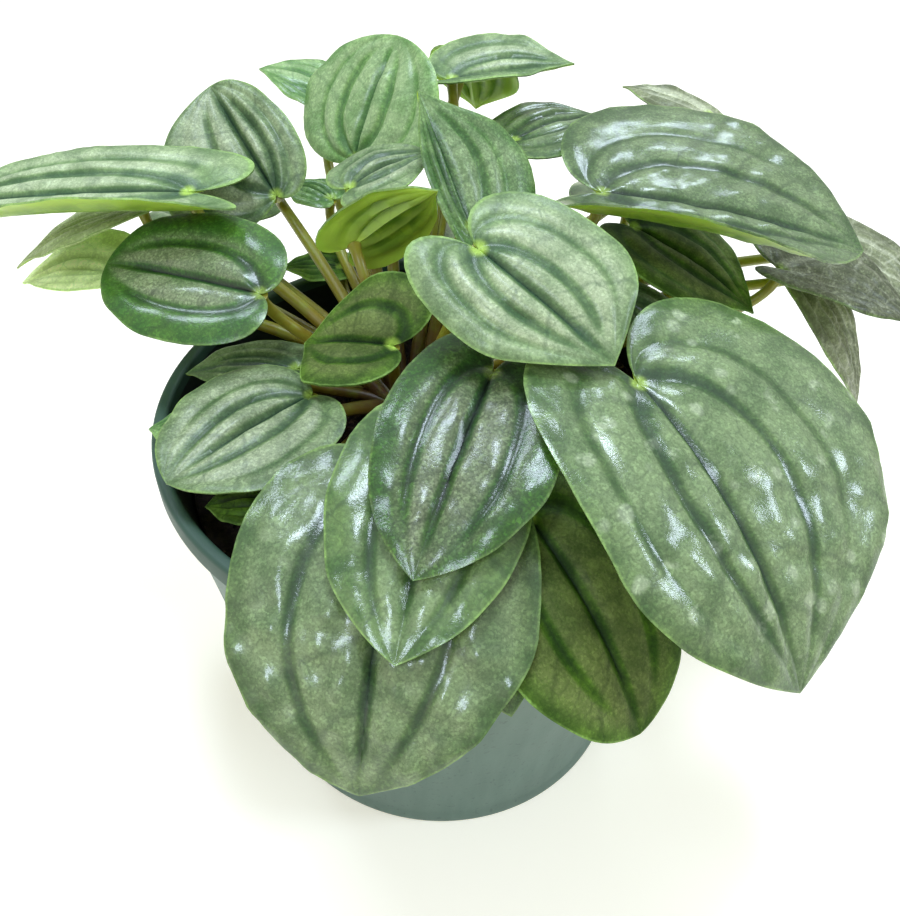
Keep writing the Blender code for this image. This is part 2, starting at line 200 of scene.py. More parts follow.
inner_rim = rim_radius - RIM_WIDTH
foot_radius = WALL_FOOT_RADIUS + FOOT_FLARE
pot_rings = [
    (1, FLOOR_TOP),
    (wall_radius(FLOOR_TOP, WALL) - 1.2, FLOOR_TOP),
    (wall_radius(FLOOR_TOP, WALL) - 0.3, FLOOR_TOP + 0.4),
    (wall_radius(FLOOR_TOP + 1.4, WALL), FLOOR_TOP + 1.4),
    (wall_radius(lip - 2, WALL), lip - 2),
    (wall_radius(lip, WALL), lip),
    (inner_rim, pot_height - RIM_ROUND),
    *arc((inner_rim + RIM_ROUND, pot_height - RIM_ROUND), RIM_ROUND, 170, 90, 5),
    *arc((rim_radius - RIM_ROUND, pot_height - RIM_ROUND), RIM_ROUND, 90, 0, 6),
    *arc((rim_radius - RIM_ROUND, lip + RIM_ROUND), RIM_ROUND, 0, -90, 6),
    (WALL_TOP_RADIUS + 0.5, lip),
    (WALL_TOP_RADIUS, lip - 0.7),
    (wall_radius(FLOOR_TOP, 0), FLOOR_TOP),
    (foot_radius, FOOT_HEIGHT),
    (foot_radius, FOOT_CHAMFER),
    (foot_radius - FOOT_CHAMFER, 0),
    (foot_radius - FOOT_WIDTH, 0),
    (foot_radius - FOOT_WIDTH - 0.5, FLOOR_UNDERSIDE),
    (PAD_RADIUS + 0.5, FLOOR_UNDERSIDE),
    (PAD_RADIUS, 0),
    (1, 0),
]
pot = turn_up("nursery_pot", pot_rings, POT_SIDES)
for hole in range(DRAIN_HOLES):
    angle = 2 * math.pi * hole / DRAIN_HOLES
    place = (DRAIN_CIRCLE * math.cos(angle) * MM, DRAIN_CIRCLE * math.sin(angle) * MM, FLOOR_TOP / 2 * MM)
    bpy.ops.mesh.primitive_cylinder_add(
        vertices=HOLE_SIDES, radius=DRAIN_RADIUS * MM, depth=3 * FLOOR_TOP * MM, location=place
    )
    cut_away(pot, bpy.context.object)
bpy.ops.object.shade_smooth_by_angle(angle=math.radians(SHARP_EDGE))

# Moulded polypropylene: a satin plastic whose green shows through a thin uneven bloom, with faint
# runs where water dried on the wall. Fine dark specks of peat dust give it its grain
pot_finish, tree, shader, place = new_finish("moulded_polypropylene_green")
clouds = {"Vector": place, "Scale": 1 / (BLOOM_CLOUD * MM), "Detail": 5, "Roughness": 0.6}
clouds = lay(tree, "TexNoise", {}, clouds)
drawn_down = (1 / (RUN_WIDTH * MM), 1 / (RUN_WIDTH * MM), 1 / (RUN_LENGTH * MM))
runs = lay(tree, "Mapping", {}, {"Vector": place, "Scale": drawn_down})
runs = lay(tree, "TexNoise", {}, {"Vector": runs, "Scale": 1, "Detail": 4})
specks = lay(tree, "TexNoise", {}, {"Vector": place, "Scale": 1 / (PEAT_SPECK * MM), "Detail": 2})
bloom = lay(tree, "Math", TIMES, {0: clouds, 1: runs})
height = lay(tree, "SeparateXYZ", {}, {0: place}, "Z")
# Painted shade: a darker band over the rolled rim
shaded_rim = lay(tree, "MapRange", {}, {0: height, 1: (lip - RIM_BLUR) * MM, 2: (lip + RIM_BLUR) * MM})
# Painted shade: faces nearer the axis than the wall's middle, the inside of the pot, are painted near-black
outward = lay(tree, "VectorMath", {"operation": "MULTIPLY"}, {0: place, 1: (1, 1, 0)})
outward = lay(tree, "VectorMath", {"operation": "LENGTH"}, {0: outward}, "Value")
mid_wall = {0: height, 1: 0, 2: lip * MM, 3: (WALL_FOOT_RADIUS - 1) * MM, 4: (WALL_TOP_RADIUS - 0.8) * MM}
mid_wall = lay(tree, "MapRange", {}, mid_wall)
inside = lay(tree, "Math", {"operation": "LESS_THAN"}, {0: outward, 1: mid_wall})
pot_layers = [
    ([(bloom, 0.02, 0.55, 0, 1)], POT_BLOOM),
    ([(specks, 0.62, 0.7, 0, 0.25)], POT_DUST_AND_SHADE),
    ([shaded_rim], POT_RIM_SHADE),
    ([inside], POT_DUST_AND_SHADE),
]
tree.links.new(layered(tree, POT_GREEN, pot_layers), shader.inputs["Base Color"])
dull = lay(tree, "MapRange", {}, {0: clouds, 1: 0.3, 2: 0.7, 3: 0.42, 4: 0.62})
tree.links.new(dull, shader.inputs["Roughness"])
grain = lay(tree, "Bump", {}, {"Height": specks, "Strength": 0.25, "Distance": 0.1 * MM})
tree.links.new(grain, shader.inputs["Normal"])
pot.data.materials.append(pot_finish)
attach(pot, "root")
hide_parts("pot")


# Potting soil: dark peat and bark crumbs, poured round the roots and watered in, so that the top is
# mounded and open. Loose crumbs lie over it.
SOIL_TOP = 74.0
SOIL_GAP = 0.3
SOIL_INSET = WALL + SOIL_GAP
SOIL_STEP = 0.9
CROWN = (-8.0, 10.0)
CROWN_RADIUS = 6.5
CROWN_HOLE = 6.8
CROWN_FOOT = 64.0
CROWN_HOLE_DEPTH = 20.0
CROWN_HOLE_SIDES = 40
SOIL_SIDES = 150
CRUMBS = 420
CRUMB_SMALLEST = 0.35
CRUMB_SPREAD = 1.1
CRUMB_ROUGH = (0.7, 1.25)
CRUMB_STRETCH = (0.6, 1.3)
CRUMB_SUNK = 0.35
CRUMB_CLEAR = 0.6
CRUMB_EDGE = 50
SEED = 7
PEAT = "2A1F19"
PEAT_WET = "0E0A08"
PEAT_DRY = "5A4636"
PEAT_GRAIN = 1.43
DAMP_PATCH = 6.25

soil_edge = wall_radius(SOIL_TOP, SOIL_INSET)
soil_rings = [
    (1, FLOOR_TOP + SOIL_GAP),
    (wall_radius(FLOOR_TOP + 2, SOIL_INSET + 0.6), FLOOR_TOP + SOIL_GAP),
    (wall_radius(FLOOR_TOP + 2, SOIL_INSET), FLOOR_TOP + 2),
    (wall_radius(SOIL_TOP - 1.5, SOIL_INSET), SOIL_TOP - 1.5),
]
soil_rings += [(r, SOIL_TOP) for r in np.arange(soil_edge - 0.4, 1, -SOIL_STEP)]
soil = turn_up("potting_soil", soil_rings, SOIL_SIDES)


def soil_height(x, y):
    """Height of the soil's top at a place in plan, all in mm."""
    broad = math.sin(0.55 * x / 3 + 1.3) * math.cos(0.6 * y / 3)
    lumps = noise.noise(Vector((x * 0.35, y * 0.35, 0.5)))
    fine = noise.noise(Vector((x * 1.1, y * 1.1, 4.5)))
    return SOIL_TOP - 0.8 + 0.5 * broad + 1.1 * lumps + 0.55 * fine


for corner in soil.data.vertices:
    x, y, z = (c / MM for c in corner.co)
    if z > SOIL_TOP - 0.1:
        corner.co.z = soil_height(x, y) * MM
bpy.ops.mesh.primitive_cylinder_add(
    vertices=CROWN_HOLE_SIDES, radius=CROWN_HOLE * MM, depth=CROWN_HOLE_DEPTH * MM,
    location=(CROWN[0] * MM, CROWN[1] * MM, (CROWN_FOOT - SOIL_GAP + CROWN_HOLE_DEPTH / 2) * MM),
)
cut_away(soil, bpy.context.object)

# One rough crumb, copied, turned and scaled at seeded places over the top
random = np.random.default_rng(SEED)
bpy.ops.mesh.primitive_ico_sphere_add(subdivisions=1, radius=1 * MM)
crumb = bpy.context.object
heap = []
while len(heap) < CRUMBS:
    x, y = random.uniform(-soil_edge, soil_edge, 2)
    size = CRUMB_SMALLEST + CRUMB_SPREAD * random.random() ** 3
    from_crown = math.hypot(x - CROWN[0], y - CROWN[1])
    if math.hypot(x, y) > soil_edge - size - CRUMB_CLEAR or from_crown < CROWN_HOLE + size:
        continue
    piece = crumb.copy()
    piece.data = crumb.data.copy()
    for corner in piece.data.vertices:
        corner.co *= random.uniform(*CRUMB_ROUGH)
    stretch = Matrix.Diagonal((*random.uniform(*CRUMB_STRETCH, 3), 1))
    turn = Matrix.Rotation(random.uniform(0, math.tau), 4, Vector(random.normal(size=3)).normalized())
    put = Matrix.Translation(Vector((x, y, soil_height(x, y) + CRUMB_SUNK * size)) * MM)
    piece.data.transform(put @ turn @ stretch @ Matrix.Scale(size, 4))
    bpy.context.scene.collection.objects.link(piece)
    heap.append(piece)
bpy.data.objects.remove(crumb)
bpy.ops.object.select_all(action="DESELECT")
for piece in (*heap, soil):
    piece.select_set(True)
bpy.context.view_layer.objects.active = soil
bpy.ops.object.join()
bpy.ops.object.shade_smooth_by_angle(angle=math.radians(CRUMB_EDGE))

# Peat and bark: matt and nearly black where wet, browner on the dry tips of the crumbs
peat_finish, tree, shader, place = new_finish("peat_and_bark")
crumbly = {"Vector": place, "Scale": 1 / (PEAT_GRAIN * MM), "Detail": 4, "Roughness": 0.7}
crumbly = lay(tree, "TexNoise", {}, crumbly)
damp = lay(tree, "TexNoise", {}, {"Vector": place, "Scale": 1 / (DAMP_PATCH * MM), "Detail": 3})
dry = lay(tree, "Math", TIMES, {0: crumbly, 1: damp})
peat_layers = [([(crumbly, 0.35, 0.6, 0, 1)], PEAT), ([(dry, 0.33, 0.42, 0, 1)], PEAT_DRY)]
tree.links.new(layered(tree, PEAT_WET, peat_layers), shader.inputs["Base Color"])
shader.inputs["Roughness"].default_value = 0.92
shader.inputs["Specular IOR Level"].default_value = 0.25
grain = lay(tree, "Bump", {}, {"Height": crumbly, "Strength": 0.7, "Distance": 0.4 * MM})
tree.links.new(grain, shader.inputs["Normal"])
soil.data.materials.clear()
soil.data.materials.append(peat_finish)
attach(soil, "root")
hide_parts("soil")


# Stalks and crown: fleshy leaf stalks, grown in a tuft from one short crown in the middle of the
# soil. Each is thickest where it leaves the crown and widens a little into the blade it carries.
CROWN_TOP = 80.0
CROWN_CUT = 0.6
CROWN_FIT = 0.97
KNOB_HEIGHT = 0.09
KNOBS_PER_METRE = 260
STALK_CIRCLE = 4.0
STALK_START = 77.0
STALK_RADIUS = 1.4
STALK_TIP_RADIUS = 1.05
STALK_SWEEP = 0.4
STALK_STEPS = 26
BUTT_SWELL = 0.22
BUTT_LENGTH = 5.0
STALK_UNEVEN = 0.02
STALK_WAVE = 0.45
STALK_EDGE = 60
COLLAR_RADII = (1.2, 1.4)
COLLAR_DEPTH = 0.45
UNDER_BLADE = 1.1
OLIVE = "868422"
AMBER = "7A641A"
PINK_BROWN = "54382A"
LEAF_STALK_GREEN = "8A9A36"
STALK_MOTTLE = 3.03
STALK_SPECK = 0.667

# What each leaf grew into, in mm and degrees. seat is where its stalk meets the blade, heading the
# compass way the blade points, pitch its rise and roll its lean. left and right widen each side. lobe,
# widest, point and blunt shape the heart as shares of the length, and skew slides its left side ahead.
# pleat is how far the skin puffs up between the veins. The sides fold up from the midrib and curl back
# down, which fades towards the tip. bend droops the blade and back its lobes, where 0.1 means straight.
# arch is how steeply the stalk leaves the crown, and reach how long it runs square to the blade.
# look is the skin, tone how light it is, partly its own colour and partly painted light and shade,
# silver_to how far the silver spreads and blotch how spotted it is. veins are the long ones of each side,
# branches the side veins, quilt and pucker their relief.
LEAF_DEFAULTS = dict(
    heading=0, pitch=0, roll=0, length=40, width=36, left=1.0, right=1.0,
    lobe=0.2, widest=0.33, point=0.2, blunt=0.34, pleat=1.2,
    fold_left=12, fold_right=12, curl_left=20, curl_right=20, fade=0.4,
    bend=20, back=-5, skew=0, arch=0.5, reach=0.25,
    look="silver", tone=0, silver_to=1.0, blotch=0, veins=3, branches=5, quilt=0.12, pucker=0.4,
)
LEAVES = {
    # The big front leaves, over the rim
    "01": dict(seat=(29, -27, 112), heading=-54.5, pitch=-12, roll=-2, length=52.5, width=64,
               left=1.08, right=0.7, bend=48, fold_left=6, fold_right=6, curl_left=14, curl_right=14,
               lobe=0.25, widest=0.4, point=0.12, blunt=0.42, look="mature", tone=-0.1, pucker=0.7,
               blotch=0.6, branches=6, quilt=0.45),
    "02": dict(seat=(4.5, -13.5, 126.5), heading=-37, pitch=-18, roll=21, length=27, width=32.5,
               left=1.0, right=0.8, bend=12, skew=0.2, fold_left=8, fold_right=8, lobe=0.27,
               widest=0.38, point=0.12, tone=0.14, pucker=0.25),
    "03": dict(seat=(7, -25, 112), heading=-110, pitch=-10, length=35, width=30, right=0.86, bend=22,
               fold_left=8, fold_right=14, curl_left=10, curl_right=10, point=0.12, blunt=0.62,
               look="banded", tone=-0.54, pucker=0.8, silver_to=0.5, veins=2),
    "04": dict(seat=(0, -31, 104), heading=-101, pitch=-8, length=36, width=30, bend=25, point=0.14,
               blunt=0.62, look="mature", tone=0.04, pucker=0.9, silver_to=0.5, quilt=0.25, veins=2),
    "05": dict(seat=(-7, -40, 98), heading=-98, pitch=-10, length=44, width=47, left=0.97, right=0.98,
               bend=58, fold_left=8, fold_right=8, curl_left=16, curl_right=16, lobe=0.24, widest=0.36,
               point=0.08, blunt=0.42, look="mature", tone=-0.16, pucker=1.7, blotch=0.15, branches=5,
               quilt=0.5, veins=2),
    "06": dict(seat=(13, -38, 94), heading=-54, pitch=-14, length=38, width=32, right=1.1, bend=45,
               point=0.06, blunt=0.6, look="shaded", tone=0.1, pucker=0.3, veins=2),
    "07": dict(seat=(0, -39, 90.5), heading=-68, pitch=12, length=31, width=26, bend=66, lobe=0.05,
               fold_left=6, fold_right=6, blunt=0.5, look="mature", tone=-0.1, veins=2),
    # Left side
    "08": dict(seat=(-24, -9, 94), heading=-136, pitch=2, length=30, width=30, bend=12, lobe=0.08,
               widest=0.42, point=0.04, blunt=0.6, tone=-0.1, pucker=0.5),
    "09": dict(seat=(-34, 5, 106), heading=163, pitch=4, roll=-24, length=33, width=31, left=0.9,
               right=0.95, bend=12, lobe=0.12, widest=0.42, point=0.04, blunt=0.6, look="banded",
               tone=-0.36, pucker=0.4, silver_to=0.4, veins=2),
    "10": dict(seat=(-50, 26, 115), heading=174, pitch=-3, roll=-14, length=62, width=42, left=0.8,
               right=0.72, bend=12, fold_left=4, fold_right=4, curl_left=-75, curl_right=14, fade=0.35,
               lobe=0.2, widest=0.28, tone=0.3, pucker=0.5),
    "11": dict(seat=(-63, 35, 107), heading=-166, pitch=-9, roll=12, length=29, width=26, bend=24,
               look="pale"),
    "12": dict(seat=(-69, 29, 95), heading=176, length=22, width=24, left=0.7, bend=20, fold_left=20,
               fold_right=30, arch=0.9, reach=0.1, look="pale", tone=0.9),
    "13": dict(seat=(-35, 35, 110), heading=133, pitch=38, roll=-30, length=29, width=33, left=1.22,
               right=0.62, bend=20, pleat=1.5, skew=-0.1, lobe=0.1, point=0.05, blunt=0.6, tone=-0.08,
               pucker=0.2),
    # Top and middle
    "14": dict(seat=(-20, 48, 112), heading=56, pitch=60, roll=-14, length=26, width=42, bend=10,
               pleat=1.8, lobe=0.1, widest=0.42, point=0.04, blunt=0.6, look="fresh", tone=0.05,
               quilt=0.25),
    "15": dict(seat=(-26, 71, 113), heading=165, pitch=32, length=20, width=30, left=0.45, blunt=0.6,
               look="fresh", tone=0.05),
    "16": dict(seat=(0, 56, 126), heading=2, pitch=8, length=25.5, width=23, right=0.45, bend=0.1,
               fold_left=30, curl_left=0.1, curl_right=0.1, lobe=0.2, arch=0, tone=0.22),
    "17": dict(seat=(4, 68, 126), heading=66, pitch=-70, length=13, width=22, bend=0.1, arch=0),
    "18": dict(seat=(4, 20, 112), heading=124, pitch=47, length=27, width=34, left=0.3, bend=0.1,
               look="fresh", tone=-0.3, pucker=0.5),
    "19": dict(seat=(-19, 27, 116), heading=24, pitch=24, length=18, width=20, arch=0.2, tone=0.05),
    "20": dict(seat=(-18, 18, 109), heading=0, pitch=44, roll=-62, length=21, width=24, right=0.75,
               lobe=0.25),
    "21": dict(seat=(-10, 1, 98), heading=172, pitch=5, length=17, width=28, skew=0.35, fold_left=0.1,
               fold_right=54, curl_left=0.1, curl_right=0.1, pleat=0.8, lobe=0.25, look="shaded",
               tone=0.02, pucker=0.3, veins=2),
    "22": dict(seat=(-26, 12, 82), heading=165, pitch=4, length=16, width=14, look="shaded"),
    "23": dict(seat=(-23.5, 41, 90), heading=180, pitch=8, length=14, width=13, look="shaded",
               tone=0.4),
    "24": dict(seat=(-29, 4, 90), heading=178, pitch=4, length=22, width=16, fold_left=16,
               fold_right=16, tone=-0.1),
    "25": dict(seat=(-30, -25, 84), heading=-178, length=12, width=13, look="shaded", tone=0.2),
    "26": dict(seat=(-43, -14, 90), heading=170, length=11, width=10, look="fresh"),
    # Right side
    "27": dict(seat=(28.5, 23, 118), heading=-10, pitch=0, roll=8, length=50, width=62, left=0.97,
               right=0.66, bend=16, fold_left=9, fold_right=0.1, curl_left=6, curl_right=-68,
               fade=0.35, point=0.08, blunt=0.46, look="mature", tone=-0.22, pucker=0.8, branches=7,
               quilt=0.4),
    "28": dict(seat=(13, 45, 118), heading=35, pitch=10, length=24, width=26, left=0.8, fold_left=14,
               fold_right=14, look="mature", tone=-0.1),
    "29": dict(seat=(56, 60, 118), heading=160, pitch=20, length=20, width=20, right=0.5, arch=1.0,
               look="dusty", tone=0.05),
    "30": dict(seat=(38, 34, 105), heading=-26, pitch=-14, length=30.5, width=33, look="shaded",
               tone=0.1),
    "31": dict(seat=(68, 27, 100), heading=-8, pitch=-8, length=34, width=44, right=0.35, bend=24,
               pleat=1.6, arch=0.12, reach=0.2, look="dusty", tone=-0.48, branches=8, quilt=0.4),
    "32": dict(seat=(88, 50, 94), heading=-20, pitch=-16, length=30, width=28, arch=1.0, reach=0.06,
               look="dusty", tone=-0.1, branches=8, quilt=0.4),
    "33": dict(seat=(76, 35, 94), heading=-26, pitch=-40, length=36, width=26, bend=30, pleat=1.6,
               arch=0.8, reach=0.06, look="dusty", tone=-0.1, branches=8, quilt=0.4),
    "34": dict(seat=(36, 20, 96), heading=-34, pitch=-16, length=18, width=18, tone=-0.3),
    # Behind, over the back rim, and small ones seen between the stalks
    "35": dict(seat=(9, 44, 96), heading=80, pitch=-6, length=36, width=32, bend=50, look="mature"),
    "36": dict(seat=(-48, 48, 98), heading=130, pitch=0, length=34, width=30, bend=45),
    "37": dict(seat=(40, 52, 99), heading=58, pitch=-5, length=36, width=34, bend=45, look="mature"),
    "38": dict(seat=(-26, 48, 103), heading=150, pitch=10, length=12, width=12, look="fresh",
               tone=-0.1),
}


def axes_of(leaf):
    """Columns: the way the blade points, its left, and its upper side."""
    heading, pitch, roll = (math.radians(leaf[key]) for key in ("heading", "pitch", "roll"))
    ahead = np.array(
        (math.cos(heading) * math.cos(pitch), math.sin(heading) * math.cos(pitch), math.sin(pitch))
    )
    level_left = np.array((-math.sin(heading), math.cos(heading), 0.0))
    left = level_left * math.cos(roll) + np.cross(ahead, level_left) * math.sin(roll)
    return np.stack((ahead, left, np.cross(ahead, left)), axis=1)


def bezier(points, t):
    """Cubic Bezier through its points, at an array of t."""
    t = np.asarray(t)[..., None]
    a, b, c, d = (np.array(point, float) for point in points)
    return (1 - t) ** 3 * a + 3 * (1 - t) ** 2 * t * b + 3 * (1 - t) * t**2 * c + t**3 * d


# The crown, a knobbly stump
bpy.ops.mesh.primitive_uv_sphere_add(segments=32, ring_count=20, radius=CROWN_RADIUS * MM)
crown = bpy.context.object
crown.name = "stalks_and_crown"
for corner in crown.data.vertices:
    corner.co.z = max(corner.co.z, -CROWN_CUT * CROWN_RADIUS * MM)
    share = (corner.co.z / (CROWN_RADIUS * MM) + CROWN_CUT) / (1 + CROWN_CUT)
    knobbly = CROWN_FIT * (1 + KNOB_HEIGHT * noise.noise(Vector(corner.co) * KNOBS_PER_METRE))
    corner.co.x = (CROWN[0] + corner.co.x / MM * knobbly) * MM
    corner.co.y = (CROWN[1] + corner.co.y / MM * knobbly) * MM
    corner.co.z = (CROWN_FOOT + share * (CROWN_TOP - CROWN_FOOT)) * MM

stalks = []
for number, row in LEAVES.items():
    leaf = dict(LEAF_DEFAULTS, **row)
    upper = axes_of(leaf)[:, 2]
    seat = np.array(leaf["seat"], float)
    end = seat - upper * UNDER_BLADE
    way = seat[:2] - np.array(CROWN)
    root = np.array((*(np.array(CROWN) + way / max(np.linalg.norm(way), 1) * STALK_CIRCLE), STALK_START))
    span = np.linalg.norm(end - root)
    start = (end - root) / span + np.array((0, 0, leaf["arch"]))
    start = start / np.linalg.norm(start)
    share = np.linspace(0, 1, STALK_STEPS)
    path = bezier((root, root + start * span * STALK_SWEEP, end - upper * span * leaf["reach"], end), share)
    path = np.vstack((path, seat - upper * COLLAR_DEPTH))
    thick = STALK_RADIUS + (STALK_TIP_RADIUS - STALK_RADIUS) * share
    uneven = STALK_UNEVEN * np.sin(share * span * STALK_WAVE)
    thick = thick * (1 + BUTT_SWELL * np.exp(-share * span / BUTT_LENGTH) + uneven)
    thick = np.append(thick[:-1], COLLAR_RADII)
    bpy.ops.curve.primitive_bezier_curve_add()
    stalk = bpy.context.object
    stalk.data.splines.clear()
    line = stalk.data.splines.new("POLY")
    line.points.add(len(path) - 1)
    for point, at, radius in zip(line.points, path, thick):
        point.co = (*(at * MM), 1)
        point.radius = radius
    stalk.data.bevel_depth = MM
    stalk.data.bevel_resolution = 4
    stalk.data.use_fill_caps = True
    stalks.append(stalk)
bpy.ops.object.select_all(action="DESELECT")
for stalk in stalks:
    stalk.select_set(True)
bpy.context.view_layer.objects.active = stalks[0]
bpy.ops.object.convert(target="MESH")
crown.select_set(True)
bpy.context.view_layer.objects.active = crown
bpy.ops.object.join()
bpy.ops.object.mode_set(mode="EDIT")
bpy.ops.mesh.select_all(action="SELECT")
bpy.ops.mesh.remove_doubles(threshold=0.005 * MM)
bpy.ops.object.mode_set(mode="OBJECT")
bpy.ops.object.shade_smooth_by_angle(angle=math.radians(STALK_EDGE))

# Fleshy stalk: translucent, with a soft shine, olive where light reaches it and amber to pink-brown
# towards the crown, with fine green and amber specks
stalk_finish, tree, shader, place = new_finish("fleshy_stalk")
heart = (CROWN[0] * MM, CROWN[1] * MM, STALK_START * MM)
away = lay(tree, "VectorMath", {"operation": "DISTANCE"}, {0: place, 1: heart}, "Value")
mottle = lay(tree, "TexNoise", {}, {"Vector": place, "Scale": 1 / (STALK_MOTTLE * MM), "Detail": 3})
fine = lay(tree, "TexNoise", {}, {"Vector": place, "Scale": 1 / (STALK_SPECK * MM), "Detail": 2})
green = lay(tree, "MapRange", {}, {0: mottle, 1: 0.45, 2: 0.75, 3: 0, 4: 0.6})
speck = lay(tree, "MapRange", {}, {0: fine, 1: 0.5, 2: 0.8, 3: 0, 4: 0.5})
stalk_layers = [
    ([(away, 4 * MM, 22 * MM, 0, 1)], AMBER),
    ([(away, 14 * MM, 42 * MM, 0, 1)], OLIVE),
    ([green], LEAF_STALK_GREEN),
    ([speck], AMBER),
]
tree.links.new(layered(tree, PINK_BROWN, stalk_layers), shader.inputs["Base Color"])
shader.inputs["Roughness"].default_value = 0.38
shader.inputs["Subsurface Weight"].default_value = 0.25
shader.inputs["Subsurface Radius"].default_value = (1.0, 0.8, 0.2)
shader.inputs["Subsurface Scale"].default_value = 1.2 * MM
grain = lay(tree, "Bump", {}, {"Height": fine, "Strength": 0.3, "Distance": 0.1 * MM})
tree.links.new(grain, shader.inputs["Normal"])
crown.data.materials.clear()
crown.data.materials.append(stalk_finish)
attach(crown, "root")
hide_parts("stems")


# Blades: heart-shaped leaves of thick waxy flesh, grown flat from a fold and puffed up between their
# sunken veins. Air under the upper skin makes it silver, except along the veins and the margin. Each
# is borne on the end of its stalk, is thickest at the midrib and thins to a fine margin.
BLADE_THICKNESS = 0.8
THIN_MARGIN = 0.45
FULL_BODY_AT = 4.0
WIDEST_ROW = 0.42
PLEAT_LOSS = 0.45
PLEAT_LEAN = 0.8
ROW_STEP = 0.85
COLUMN_STEP = 0.85
FEWEST_ROWS = 24
COLUMN_GROUP = 12
BLADE_EDGE = 60
MARGIN_WAVE = 0.35
MARGIN_RAGGED = 0.014
VEIN_WANDER = 0.012
VEIN_LEAN = 0.1
VEIN_ENDS = (1.0, 0.95, 0.85)
VEIN_STRENGTHS = (1.0, 0.9, 0.6)
VEIN_FADE = 0.35
VEIN_CURVE = 1.5
BRANCH_SLANT = 0.22
GROOVE_WIDTH = 1.1
SILVER_FADE = 0.3
PILLOW = 0.55
PUCKER_SPACING = 3.5
PUCKER_ROUND = 0.42
PUCKER_SINK = 0.6
PUCKER_HEIGHT = 0.4

# Each look gives the flesh's green, its paler mottle, the silver and how much of it, the colour of
# the veins and how waxy the skin is. Young leaves are fresh green, and old ones mottled or dusty.
# The pale look is painted light, for thin leaves lit through from behind, and the shaded look is painted
# shade, for leaves deep under others.
LOOKS = {
    "silver": dict(green="4A6338", pale="6D8453", silver="9AA582", share=0.9, vein="26402C", coat=0.25),
    "banded": dict(green="36661C", pale="4C7A26", silver="95A079", share=0.85, vein="12261A", coat=0.55),
    "mature": dict(green="385624", pale="5A743E", silver="84966A", share=0.65, vein="1E3622", coat=0.65),
    "fresh": dict(green="507838", pale="779957", silver="95A97D", share=0.7, vein="30562C", coat=0.35),
    "dusty": dict(green="565D40", pale="747B58", silver="868D6C", share=0.6, vein="C2C6A8", coat=0.15),
    "pale": dict(green="9AA870", pale="B4C08C", silver="C0C9A2", share=0.6, vein="7E8F5E", coat=0.1),
    "shaded": dict(green="2C480E", pale="4A6A1C", silver="6E7048", share=0.55, vein="142510", coat=0.0),
}
BLOTCH_PALE = "A5B28E"
MARGIN_GREEN = "7E9F50"
SEAT_GREEN = "93B048"
UNDER_LIME = "86AC2E"
UNDER_DEEP = "55801C"
UNDER_VEIN = "A9C65C"
UNDER_MARGIN = "B9D850"
MARGIN_LINE = 0.5
SKIN_GRAIN = 0.4
SKIN_CELL = 0.42
LUMP = 3.6
MOTTLE = 6.0
CROOKED = 2.0
SIDE_CROOKED = 0.35
BLOTCH_SPACING = 5.5
NET_SPACING = 3.4
UNDER_MOTTLE = 4.0


